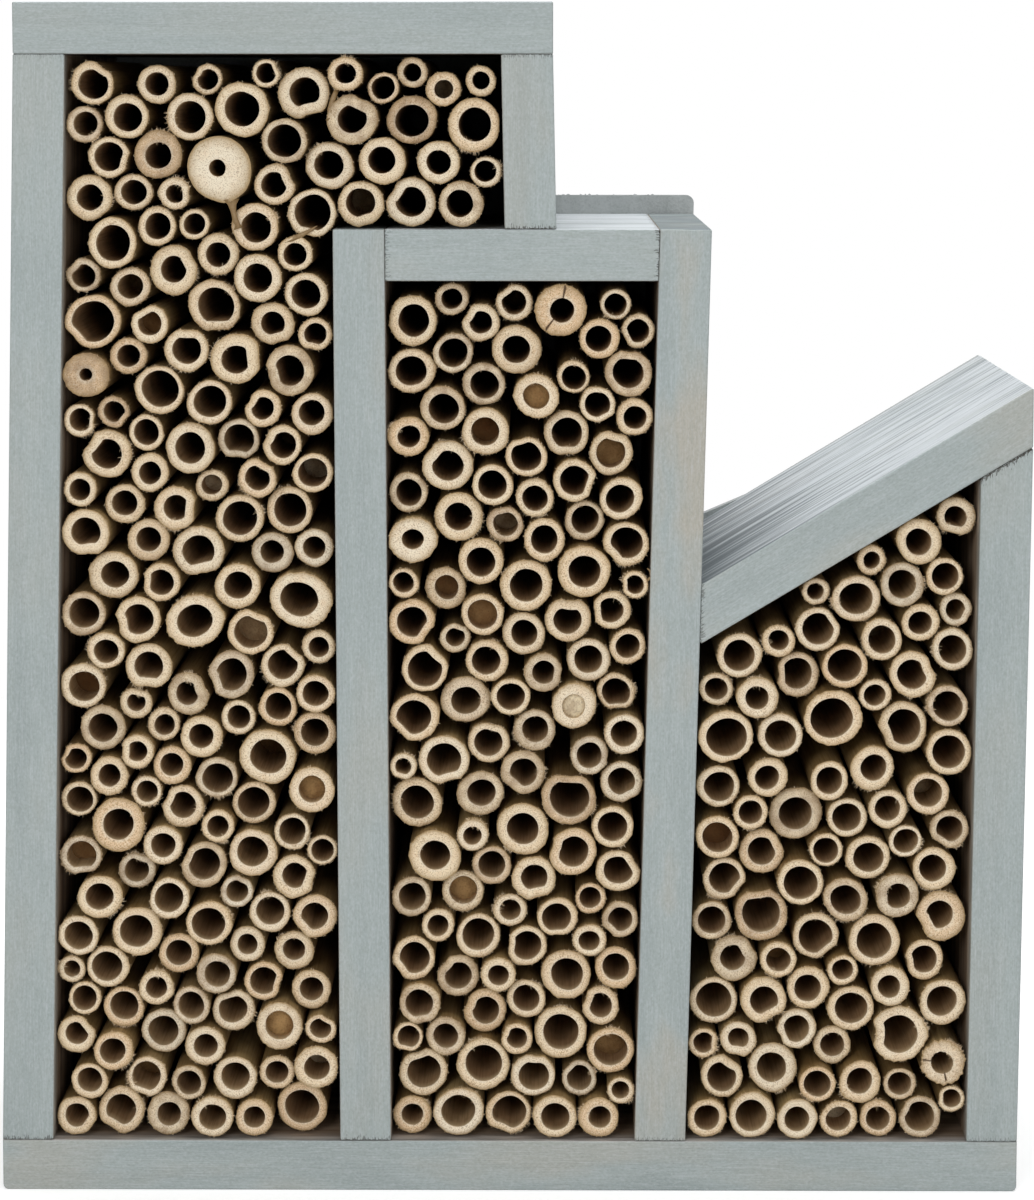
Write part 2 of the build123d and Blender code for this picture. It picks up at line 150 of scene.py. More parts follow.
def looseSolids(node):
    # the node's separate solids, each as a list of its corners, from left to right
    shape = bmesh.new()
    shape.from_mesh(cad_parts[node].data)
    bmesh.ops.remove_doubles(shape, verts=shape.verts, dist=weld)
    waiting = dict.fromkeys(shape.verts)     # not a set, which has another order in each run
    solids = []
    while waiting:
        reached = [waiting.popitem()[0]]
        for vert in reached:
            for edge in vert.link_edges:
                other = edge.other_vert(vert)
                if other in waiting:
                    del waiting[other]
                    reached.append(other)
        solids.append([vert.co.copy() for vert in reached])
    shape.free()
    return sorted(
        solids, key=lambda points: (round(min(p.x for p in points), 5), min(p.z for p in points))
    )


# painted boards: planed softwood under one thin coat of matte water-based paint. The grain
# telegraphs through, the coat is warmer where it is thin, sawn ends stay darker, and the inner
# faces only caught overspray, so they turn to bare wood behind the front edge

paint = {
    "blueGrey": "#a4aead",
    "shade": "#8f9a9a",
    "thinCoat": "#aeaba0",
    # chalk: lighter fibres and specks in the coat, and the ground of the painted sheen on the
    # roofs' tops
    "chalkAndSheen": "#c8cdd2",
    "streak": "#616a74",
    # painted shadow on a roof's top, beside the post at its left end
    "paintedShadow": "#434a53",
    "speck": "#7b8079",
    "bareWood": "#a9957f",
    "bareDark": "#6d5847",
    "endGrain": "#626a6a",
    # painted shade for an open joint's crevice, also the colour of the torn fibres beside it
    "creviceShade": "#2e2a24",
    "fineGrain": (9 * mm, 0.4 * mm, 0.4 * mm),   # real fibres are 0.05 mm: coarser, to show
    "bands": (160 * mm, 5 * mm, 5 * mm),         # early and late wood under the paint
    "patches": (60 * mm, 22 * mm, 22 * mm),      # where the coat is thin or thick
    "peel": (0.9 * mm, 0.5 * mm, 0.5 * mm),      # the brushed coat's own roughness
    "chips": (1.4 * mm, 0.7 * mm, 0.7 * mm),     # breaks in the crevice at a joint
    "splits": (1.3 * mm, 0.3 * mm, 0.3 * mm),    # torn fibres beside a sawn end
    "sawMarks": (16 * mm, 1.4 * mm, 1.4 * mm),
    "wear": (38 * mm, 2.2 * mm, 2.2 * mm),       # streaks along the roofs' tops
    "roughness": 0.55,
    "topRoughness": 0.5,
    "sawnRoughness": 0.85,
    "ior": 1.5,
    "relief": 0.14 * mm,
    "oversprayEdge": 0.3 * mm,                   # the overspray is full as far in as this
    "oversprayDepth": 9 * mm,                    # and has ended here
    "gap": 0.45 * mm,                            # reach of the crevice at a joint, unpainted, drawn as painted shade
    "gapEdge": 0.12 * mm,                        # and how softly it ends
    "tornReach": 4 * mm,                         # how far from a sawn end the fibres are torn
    "paintedShadowReach": 1 * mm,                         # how far the painted shadow at a roof's left end reaches
}

slopeAngle = math.radians(31)
upright = math.radians(90)
slopeDown = (math.sin(slopeAngle), 0, -math.cos(slopeAngle))

# turn: direction of the grain; thin and dark: how much its coat is thin or darker; bare:
# directions of the inner faces; joints: for each butted end, which corner of the board's box it
# goes through, its direction, and how open it is; and its own reach for the painted shadow at its
# left end, where one is given
boardLooks = {
    "base_board": {"turn": 0, "thin": 0.5, "dark": 0.5, "bare": [(0, 0, 1)], "joints": []},
    "left_wall": {
        "turn": upright, "thin": 0.2, "dark": 0.45, "bare": [(1, 0, 0)],
        "joints": [(0, (0, 0, 1), 0.85), (1, (0, 0, 1), 0.35)],
    },
    "tall_roof": {"turn": 0, "thin": 0.15, "dark": 0.2, "bare": [(0, 0, -1)], "joints": []},
    "short_post": {
        "turn": upright, "thin": 0.3, "dark": 0.2, "bare": [(-1, 0, 0)],
        "joints": [(0, (0, 0, 1), 1.0), (1, (0, 0, 1), 0.6)],
    },
    "divider": {
        "turn": upright, "thin": 0.35, "dark": 0.3, "bare": [(1, 0, 0), (-1, 0, 0)],
        "joints": [(0, (0, 0, 1), 0.8)],
    },
    "middle_roof": {
        "turn": 0, "thin": 0.2, "dark": 0.2, "bare": [(0, 0, -1)],
        "joints": [(0, (1, 0, 0), 0.6), (1, (1, 0, 0), 1.0)],
    },
    "middle_post": {
        "turn": upright, "thin": 1.0, "dark": 0.3, "bare": [(-1, 0, 0)],
        "joints": [(0, (0, 0, 1), 0.6)],
    },
    "slanted_roof": {
        "turn": slopeAngle, "thin": 0.5, "dark": 0.35, "bare": [slopeDown], "paintedShadow": 50 * mm,
        "joints": [(0, (1, 0, 0), 0.7)],
    },
    "right_wall": {
        "turn": upright, "thin": 0.2, "dark": 0.3, "bare": [(-1, 0, 0)],
        "joints": [(0, (0, 0, 1), 0.5), (1, slopeDown, 1.0)],
    },
}


def paintedSoftwood(board, number):
    look = boardLooks[board]
    turn = look["turn"]
    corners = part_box(board)

    def surface(tree):
        shift = (0.37 * number, 0.11 * number, 0.23 * number)
        fibres = cloudy(tree, paint["fineGrain"], 4.0, turn, shift)
        bands = cloudy(tree, paint["bands"], 2.0, turn, shift, 0.4)
        patches = cloudy(tree, paint["patches"], 3.0, turn, shift)
        peel = cloudy(tree, paint["peel"], 2.0, turn, shift)
        chips = cloudy(tree, paint["chips"], 2.0, turn, shift)
        splits = cloudy(tree, paint["splits"], 2.0, turn, shift)
        sawMarks = cloudy(tree, paint["sawMarks"], 4.0)
        wear = cloudy(tree, paint["wear"], 5.0, turn, shift)
        top = facing(tree, (0, 0, 1))

        colour = layColours(tree, toLinear(paint["blueGrey"]), [
            (bands, 0.40, 0.68, 0.30, paint["shade"]),
            (patches, 0.50, 0.64, look["thin"], paint["thinCoat"]),
            (patches, 0.50, 0.32, look["dark"], paint["shade"]),
            (fibres, 0.50, 0.72, 0.26, paint["chalkAndSheen"]),
            (fibres, 0.50, 0.30, 0.22, paint["shade"]),
            (peel, 0.52, 0.70, 0.24, paint["speck"]),
            (peel, 0.46, 0.30, 0.22, paint["chalkAndSheen"]),
        ])
        # the roofs' tops are painted chalky white, a painted sheen, with streaks of wear over it,
        # and darker where they run down against a post, a painted shadow
        # painted shadow: the top is darker for a set reach from its left end, where the post beside
        # it shades it
        fromLeft = distanceFrom(tree, corners[0], (1, 0, 0))
        unshadowed = addNode(
            tree, "MapRange", {0: fromLeft, 2: look.get("paintedShadow", paint["paintedShadowReach"])}
        )
        paintedShadow = addNode(tree, "Math", {0: unshadowed, 1: -0.30, 2: bands}, operation="MULTIPLY_ADD")
        sheenAndWear = layColours(tree, toLinear(paint["chalkAndSheen"]), [
            (bands, 0.50, 0.64, 0.75, paint["blueGrey"]),
            (fibres, 0.50, 0.64, 0.3, paint["streak"]),
            (wear, 0.53, 0.61, 0.8, paint["streak"]),
            (paintedShadow, 0.28, 0.50, 0.9, paint["paintedShadow"]),
        ])
        # the painted sheen goes on every face that looks up, but not on an upright board's sawn top
        layers = [(top, 0, 1, 0.8, sheenAndWear)] if turn != upright else []
        # sawn ends drink the paint
        along = (math.cos(turn), 0, math.sin(turn))
        sawn = layColours(tree, toLinear(paint["endGrain"]), [
            (sawMarks, 0.51, 0.58, 0.75, paint["streak"]),
            (sawMarks, 0.47, 0.40, 0.65, paint["blueGrey"]),
        ])
        for way in (along, tuple(-v for v in along)):
            layers.append((facing(tree, way), 0, 1, 0.85 if turn == upright else 0.5, sawn))
        # inner faces: overspray that ends a little way in
        depth = distanceFrom(tree, low, (0, 1, 0))
        wood = layColours(tree, toLinear(paint["bareWood"]), [
            (bands, 0.35, 0.7, 1.0, paint["bareDark"]),
        ])
        for way in look["bare"]:
            inner = addNode(tree, "MapRange", {
                0: depth, 1: paint["oversprayEdge"], 2: paint["oversprayDepth"], 3: 0.35,
            })
            inner = addNode(
                tree, "Math", {0: inner, 1: facing(tree, way)}, operation="MULTIPLY"
            )
            layers.append((inner, 0, 1, 1.0, wood))
        # joints: a broken dark crevice, painted shade for the open gap, and torn fibres beside it
        # in the same dark colour
        for corner, way, openness in look["joints"]:
            near = distanceFrom(tree, corners[corner], way)
            reach = addNode(tree, "MapRange", {0: chips, 1: 0.36, 2: 0.62, 4: paint["gap"]})
            dark = addNode(tree, "Math", {0: reach, 1: near}, operation="SUBTRACT")
            layers.append((dark, 0.0, paint["gapEdge"], openness, paint["creviceShade"]))
            torn = addNode(
                tree, "MapRange", {0: near, 1: 0.0, 2: paint["tornReach"], 3: 0.2, 4: -0.3}
            )
            torn = addNode(tree, "Math", {0: splits, 1: torn}, operation="ADD")
            layers.append((torn, 0.60, 0.70, 0.8 * openness, paint["creviceShade"]))
        colour = layColours(tree, colour, layers)

        # an upright board's top is its sawn end, any other's is worn smooth
        topRough = paint["sawnRoughness" if turn == upright else "topRoughness"]
        rough = addNode(tree, "MapRange", {0: top, 3: paint["roughness"], 4: topRough})
        uneven = addNode(tree, "MapRange", {0: fibres, 1: 0.3, 2: 0.7, 3: -0.07, 4: 0.12})
        relief = addNode(tree, "Math", {0: peel, 1: 0.9, 2: fibres}, operation="MULTIPLY_ADD")
        return {
            "Base Color": colour,
            "Roughness": addNode(tree, "Math", {0: rough, 1: uneven}, operation="ADD"),
            "IOR": paint["ior"],
            "Normal": addNode(
                tree, "Bump", {"Height": relief, "Distance": paint["relief"], "Strength": 0.6}
            ),
        }

    return newMaterial("paintedSoftwood_" + board, surface)


def finishNode(node, material):
    # a CAD part keeps its shape and gets one material all over
    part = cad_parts[node]
    if not part.material_slots:
        part.data.materials.append(material)
    for slot in part.material_slots:
        slot.material = material


boardPaints = {
    board: paintedSoftwood(board, number) for number, board in enumerate(boardLooks)
}
for board, material in boardPaints.items():
    finishNode(board, material)
print("boards painted")


# filler over the sunk nail heads, painted with the board and rubbed almost flush

filler = {
    "radius": 2.0 * mm,
    "thickness": 0.2 * mm,
    "dimple": 0.02 * mm,         # how far it stands back from the board
    "faces": 32,
    "headWidth": 4.2 * mm,       # a little more than a nail head's
    "headDepth": 0.1 * mm,       # how close to the top of a head its corners lie
    "boardSlack": 1 * mm,        # how far past a board's box its own filler may lie
}


def boardAt(point):
    # the board that a point at its surface belongs to
    slack = Vector([filler["boardSlack"]] * 3)
    for board in boardLooks:
        boardLow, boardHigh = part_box(board)
        if all(a < b < c for a, b, c in zip(boardLow - slack, point, boardHigh + slack)):
            return board


def fillNailHoles():
    fills = {board: bmesh.new() for board in boardLooks}
    for points in looseSolids("frame_nails"):
        one = max(points, key=lambda p: (p - points[0]).length)
        other = max(points, key=lambda p: (p - one).length)
        # more corners lie close to the tip, with its cone, than to the flat head
        tip = max(
            (one, other),
            key=lambda end: sum((p - end).length < filler["headWidth"] for p in points),
        )
        reach = max((p - tip).length for p in points)
        head = [p for p in points if (p - tip).length > reach - filler["headDepth"]]
        centre = sum(head, Vector()) / len(head)
        axis = (centre - tip).normalized()
        outside = centre + axis * filler["thickness"]
        middle = outside - axis * (filler["thickness"] / 2 + filler["dimple"])
        turned = axis.to_track_quat("Z", "Y").to_matrix().to_4x4()
        bmesh.ops.create_cone(
            fills[boardAt(outside)], cap_ends=True, segments=filler["faces"],
            radius1=filler["radius"], radius2=filler["radius"], depth=filler["thickness"],
            matrix=Matrix.Translation(middle) @ turned,
        )
    for board, shape in fills.items():
        if shape.verts:
            finishPiece("filler_" + board, shape, [boardPaints[board]])


fillNailHoles()
print("nail holes filled")


# back panel: thin fibreboard, rolled with the same paint; its edges are fuzzy and darker

panelLook = {
    "paint": "#bbbfbf",
    "thin": "#a5aaa9",
    "edge": "#a2a6a6",
    "fuzzColour": "#858a8b",
    "fuzz": 0.8 * mm,
    "rollerMarks": (9 * mm, 9 * mm, 70 * mm),
    "roughness": 0.75,
    "relief": 0.2 * mm,
    "stripHeight": 6 * mm,       # how far the panel shows above the middle roof
    "crumbs": 16,
    "crumbSize": (0.15 * mm, 0.4 * mm),
    "crumbLength": (0.7, 1.8),   # times its size
    "crumbHeight": (0.6, 1.3),
    "crowdAt": 0.3,              # where they crowd, from the short post to the middle post
}


def rolledFibreboard(tree):
    fuzz = cloudy(tree, [panelLook["fuzz"]] * 3, 4.0)
    marks = cloudy(tree, panelLook["rollerMarks"])
    layers = [(marks, 0.40, 0.65, 0.6, panelLook["thin"])]
    for edgeWay in ((0, 0, 1), (1, 0, 0), (-1, 0, 0), (0, 0, -1)):
        layers.append((facing(tree, edgeWay), 0, 1, 0.8, panelLook["edge"]))
    layers.append((fuzz, 0.50, 0.72, 0.35, panelLook["fuzzColour"]))
    return {
        "Base Color": layColours(tree, toLinear(panelLook["paint"]), layers),
        "Roughness": panelLook["roughness"],
        "Normal": addNode(
            tree, "Bump", {"Height": fuzz, "Distance": panelLook["relief"], "Strength": 0.8}
        ),
    }


fibreboard = newMaterial("rolledFibreboard", rolledFibreboard)
finishNode("back_panel", fibreboard)


def crumbsOnEdge():
    # sawdust nibs stuck in the paint along the panel's top edge, above the middle roof
    dice = random.Random(5)
    shape = bmesh.new()
    start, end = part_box("short_post")[1].x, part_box("middle_post")[1].x
    panelLow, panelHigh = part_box("back_panel")
    crowd = start + (end - start) * panelLook["crowdAt"]
    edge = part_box("middle_roof")[1].z + panelLook["stripHeight"]
    for number in range(panelLook["crumbs"]):
        size = dice.uniform(*panelLook["crumbSize"])
        place = Vector((
            dice.triangular(start, end, crowd),
            dice.uniform(panelLow.y + size, panelHigh.y - size),
            edge,
        ))
        stretch = Matrix.Diagonal((
            dice.uniform(*panelLook["crumbLength"]), 1.0,
            dice.uniform(*panelLook["crumbHeight"]), 1.0,
        ))
        bmesh.ops.create_icosphere(
            shape, subdivisions=1, radius=size, matrix=Matrix.Translation(place) @ stretch
        )
    finishPiece("panelCrumbs", shape, [fibreboard])


crumbsOnEdge()


# metal: painted nail heads, bright wire brads and zinc-plated hangers

metalLooks = {
    # the heads took the frame's paint, matte and a little darker than the wood
    "paintedNailHead": {
        "colour": "#97a0a0", "dark": "#7d8484", "rough": 0.5, "metal": 0.0, "spots": 0.9 * mm,
    },
    # drawn wire is bright, with duller handled spots
    "brightSteelWire": {
        "colour": "#b9b7b2", "dark": "#8f8b84", "rough": 0.32, "metal": 1.0, "spots": 0.5 * mm,
    },
    # zinc shows cool grey crystal patches
    "zincPlate": {
        "colour": "#b4b8ba", "dark": "#8d9396", "rough": 0.38, "metal": 1.0, "spots": 2.2 * mm,
    },
}
metalWear = {"smoother": 0.08, "rougher": 0.1, "relief": 0.03 * mm}


def metalFinish(name):
    look = metalLooks[name]

    def surface(tree):
        spots = cloudy(tree, [look["spots"]] * 3)
        rough = addNode(tree, "MapRange", {
            0: spots, 1: 0.3, 2: 0.7,
            3: look["rough"] - metalWear["smoother"], 4: look["rough"] + metalWear["rougher"],
        })
        return {
            "Base Color": layColours(tree, toLinear(look["colour"]), [
                (spots, 0.4, 0.65, 1.0, look["dark"]),
            ]),
            "Metallic": look["metal"],
            "Roughness": rough,
            "Normal": addNode(
                tree, "Bump",
                {"Height": spots, "Distance": metalWear["relief"], "Strength": 0.4},
            ),
        }

    return newMaterial(name, surface)


brightSteel = metalFinish("brightSteelWire")
finishNode("frame_nails", metalFinish("paintedNailHead"))
finishNode("panel_brads", brightSteel)
finishNode("hanger_pins", brightSteel)
finishNode("hangers", metalFinish("zincPlate"))
print("panel and metal finished")


# bamboo canes: dry bamboo, crosscut with a fine saw. The cut is cream with fine brown dots and
# a thin tan rim, the skin is satin tan with lengthwise streaks, and the bore is browner

cane = {
    "steps": 30,                  # faces round a cane
    "fineSteps": 96,              # and round one that stands out
    "rings": 3,                   # rings across the cut
    "fineRings": 7,
    "chamfer": 0.22 * mm,
    "chamferShare": 0.06,         # of the wall's thickness
    "rimShare": 0.79,             # corners past this share of the radius are the skin's
    "tilt": math.radians(3.5),    # how far off square the saw went
    "oval": 0.035,
    "lumps": 0.03,
    "boreLumps": 0.045,
    "lumpSpeed": 1.1,             # how quickly lumps and nicks change round the cane
    "nicks": 0.04,
    "nickSpeed": 7,
    "offCentre": 0.06,
    "cornerShare": 0.5,           # chance of each of three soft corners
    "corner": 0.049,
    "raggedGrades": [0.04, 0.04, 0.08, 0.2],   # millimetres that the cut is rough by
    "raggedGrain": 1100,          # how fine that roughness is, per metre
    "warmthGrades": [0.0, 0.0, 0.1, 0.2, 0.3, 0.7],
    "dirtGrades": [0, 0, 0, 0.1, 0.2, 0.45],
    "crackDepth": 2.5 * mm,
    # how dark a crack is painted, as painted shade
    "crackShade": 3.0,
    "membrane": 2 * mm,
    "membraneEdge": 0.08,         # how far into the wall the membrane goes
    "dish": 0.9 * mm,
    "cut": "#edd8b6",
    "cutWarm": "#e0bd94",
    "cutPale": "#f4e8d0",
    "dots": "#84623a",
    "rim": "#a18558",
    "skin": "#8f7449",
    "skinStreak": "#70552f",
    "skinPale": "#ab9468",
    "bore": "#a68560",
    "boreDark": "#6b5032",
    "borePale": "#c6ab82",
    "borePaintedLight": "#dcc6a0",         # the bore is painted paler just behind the cut, a painted light, over about this depth
    "paintedLightDepth": 6 * mm,           # over about this depth
    "wall": "#b3905f",
    "wallPale": "#f6e9ca",
    "wallDark": "#7a5029",
    # dirt colour, also used as the painted shade in cracks
    "dirtAndShade": "#735c46",
    "dotSpacing": 0.6 * mm,       # real bundles are 0.3 mm apart: drawn coarser to show
    "streaks": (0.6 * mm, 26 * mm, 0.6 * mm),
    "blotches": (7 * mm, 18 * mm, 7 * mm),
    "stains": 3.6 * mm,
    "grit": 0.35 * mm,
    "sawnRelief": 0.16 * mm,
    "streakRelief": 0.08 * mm,
    "wallRelief": 0.25 * mm,
    "groove": 0.8,                # how much of its groove a cane shows
}

# red: across the wall, and down to -1 inside the bore, which sets the painted light near the cut;
# green: tone; blue: warmth; alpha: dirt, and painted shade in cracks
toneName = "caneTone"


def caneTones(tree):
    colours = addNode(tree, "Attribute", take="Color", attribute_name=toneName)
    red, green, blue = (addNode(tree, "SeparateColor", {0: colours}, take=i) for i in range(3))
    return red, green, blue, addNode(tree, "Attribute", take="Alpha", attribute_name=toneName)


def sawnBamboo(tree):
    across, tone, warmth, dirtAndShade = caneTones(tree)
    place = addNode(tree, "TexCoord", take="Object")
    spacing = cane["dotSpacing"]
    # bundles run along the cane, so the pattern is long from front to rear
    fitted = addNode(
        tree, "Mapping", {"Vector": place, "Scale": (spacing, 40 * spacing, spacing)},
        vector_type="TEXTURE",
    )
    bundles = addNode(tree, "TexVoronoi", {"Vector": fitted, "Scale": 1.0})
    grit = cloudy(tree, [cane["grit"]] * 3)
    stains = cloudy(tree, [cane["stains"]] * 3, shift=(0.4, 0.2, 0.7))
    # dots crowd and grow towards the skin
    reach = addNode(tree, "MapRange", {0: across, 3: 0.10, 4: 0.34})
    dots = addNode(tree, "Math", {0: reach, 1: bundles}, operation="SUBTRACT")
    # dirt stains, which also carry the painted shade in cracks
    dirtAndShadeSpots = addNode(tree, "Math", {0: stains, 1: dirtAndShade}, operation="MULTIPLY")
    colour = layColours(tree, toLinear(cane["cut"]), [
        (warmth, 0.0, 1.0, 1.0, cane["cutWarm"]),
        (tone, 0.5, 0.0, 0.85, cane["cutPale"]),
        (across, 0.30, 0.0, 0.7, cane["cutPale"]),
        (stains, 0.45, 0.70, 0.35, cane["cutWarm"]),
        (dots, 0.0, 0.16, 0.6, cane["dots"]),
        (grit, 0.52, 0.66, 0.6, cane["dots"]),
        (grit, 0.46, 0.34, 0.6, cane["cutPale"]),
        (across, 0.50, 0.95, 0.6, cane["rim"]),
        (across, 0.84, 0.98, 0.75, cane["rim"]),
        (dirtAndShadeSpots, 0.12, 0.45, 0.8, cane["dirtAndShade"]),
    ])
    relief = addNode(tree, "Math", {0: dots, 1: -0.8, 2: grit}, operation="MULTIPLY_ADD")
    return {
        "Base Color": colour,
        "Roughness": 0.8,
        "Normal": addNode(
            tree, "Bump", {"Height": relief, "Distance": cane["sawnRelief"], "Strength": 0.8}
        ),
    }


def alongCane(light, streak, pale, roughness, paintedLightFrom, contrast):
    # a face along the cane, with streaks from front to rear, and painted light, paler, from the
    # given start on, across the wall
    def surface(tree):
        across, tone, _, dirtAndShade = caneTones(tree)
        streaks = cloudy(tree, cane["streaks"], 4.0)
        blotches = cloudy(tree, cane["blotches"], shift=(0.3, 0.9, 0.1))
        colour = layColours(tree, toLinear(light), [
            (tone, 0.6, 0.0, 0.8, pale),
            (streaks, 0.45, 0.72, contrast, streak),
            (blotches, 0.50, 0.70, contrast, streak),
            # dirt, and painted shade beside cracks
            (dirtAndShade, 0.2, 1.0, 0.3, cane["dirtAndShade"]),
            # painted light: paler towards the cut
            (across, paintedLightFrom, paintedLightFrom + 0.9, 0.75, cane["borePaintedLight"]),
        ])
        rough = addNode(tree, "MapRange", {
            0: streaks, 1: 0.3, 2: 0.7, 3: roughness - 0.08, 4: roughness + 0.12,
        })
        return {
            "Base Color": colour,
            "Roughness": rough,
            "IOR": 1.5,
            "Normal": addNode(
                tree, "Bump",
                {"Height": streaks, "Distance": cane["streakRelief"], "Strength": 0.5},
            ),
        }

    return surface


def driedNodeWall(tree):
    # the wall across a node is papery, with brown stains
    tone = caneTones(tree)[1]
    grit = cloudy(tree, [1.5 * cane["grit"]] * 3, 4.0)
    stains = cloudy(tree, [cane["stains"]] * 3, shift=(0.8, 0.1, 0.5))
    colour = layColours(tree, toLinear(cane["wall"]), [
        (tone, 0.45, 0.0, 1.0, cane["wallPale"]),
        (tone, 0.55, 1.0, 1.0, cane["wallDark"]),
        (stains, 0.45, 0.62, 0.4, cane["wallDark"]),
        (grit, 0.50, 0.70, 0.4, cane["boreDark"]),
    ])
    return {
        "Base Color": colour,
        "Roughness": 0.85,
        "Normal": addNode(
            tree, "Bump", {"Height": grit, "Distance": cane["wallRelief"], "Strength": 0.9}
        ),
    }


caneMaterials = [
    newMaterial("sawnBambooEnd", sawnBamboo),
    # the skin's painted light would start past the wall, so the skin never turns pale
    newMaterial("bambooSkin", alongCane(
        cane["skin"], cane["skinStreak"], cane["skinPale"], roughness=0.5, paintedLightFrom=9, contrast=0.65,
    )),
    newMaterial("bambooBore", alongCane(
        cane["bore"], cane["boreDark"], cane["borePale"], roughness=0.7, paintedLightFrom=-0.9, contrast=0.45,
    )),
    newMaterial("driedNodeWall", driedNodeWall),
]
endFace, skinFace, boreFace, wallFace = range(4)


rearMark = 1.0    # depth that stands for the rear end in a template


def caneTemplate(steps, rings):
    # the section of a cane's wall, spun: x is 1 at the bore and 2 at the skin, y is the depth
    chamfer, share = cane["chamfer"], cane["chamferShare"]
    section = [(2.0, rearMark), (2.0, chamfer)]
    section += [(2 - share - (1 - 2 * share) * i / (rings - 1), 0.0) for i in range(rings)]
    # a ring in the bore, where its painted light ends
    section += [(1.0, chamfer), (1.0, cane["paintedLightDepth"]), (1.0, rearMark)]
    shape = bmesh.new()
    corners = [shape.verts.new((x, y, 0)) for x, y in section]
    sides = [shape.edges.new(pair) for pair in zip(corners, corners[1:] + corners[:1])]
    bmesh.ops.spin(
        shape, geom=corners + sides, cent=(0, 0, 0), axis=(0, 1, 0), dvec=(0, 0, 0),
        angle=math.tau, steps=steps, use_merge=True, use_duplicate=False,
    )
    bmesh.ops.remove_doubles(shape, verts=shape.verts, dist=weld)
    bmesh.ops.recalc_face_normals(shape, faces=shape.faces)
    for face in shape.faces:
        middle = face.calc_center_median()
        face.smooth = True
        if middle.y < chamfer or middle.y > 0.9 * rearMark:
            face.material_index = endFace
        else:
            face.material_index = skinFace if math.hypot(middle.x, middle.z) > 1.5 else boreFace
    for edge in shape.edges:
        edge.smooth = len({face.material_index for face in edge.link_faces}) == 1
    mesh = bpy.data.meshes.new("caneTemplate")
    shape.to_mesh(mesh)
    shape.free()
    return mesh


def readCane(points):
    # centre, radius, outlines and depths of a cane, from the corners of its solid
    xs, zs = [p.x for p in points], [p.z for p in points]
    radius = max(max(xs) - min(xs), max(zs) - min(zs)) / 2
    # a groove can make the box narrower on one side, so each side is tried
    trials = [
        (x, z)
        for x in (min(xs) + radius, max(xs) - radius)
        for z in (min(zs) + radius, max(zs) - radius)
    ]
    centre = min(trials, key=lambda t: max(math.hypot(p.x - t[0], p.z - t[1]) for p in points))
    places = 5
    depths = sorted({round(p.y, places) for p in points})
    rim, bore = [], []
    for p in points:
        if p.y < depths[0] + 10 ** -places:
            reach = math.hypot(p.x - centre[0], p.z - centre[1])
            outline = rim if reach > cane["rimShare"] * radius else bore
            outline.append((math.atan2(p.z - centre[1], p.x - centre[0]), reach))
    return {
        "x": centre[0],
        "z": centre[1],
        "radius": radius,
        "front": depths[0],
        "rear": depths[-1],
        "wallAt": depths[1] if len(depths) > 2 else None,
        "rim": sorted(rim),
        "bore": sorted(bore),
    }


def reachAt(outline, angle):
    # distance from the centre to an outline, at an angle
    for (before, near), (after, far) in zip(outline, outline[1:]):
        if before <= angle <= after:
            return near + (far - near) * (angle - before) / max(after - before, 1e-9)
    return outline[0][1]


def softened(outline, keep):
    # an outline with its grooves made shallower, down to the given share
    usual = sorted(reach for angle, reach in outline)[len(outline) // 2]
    return [(angle, usual + keep * (reach - usual)) for angle, reach in outline]


def wrapped(angle):
    return (angle + math.pi) % math.tau - math.pi


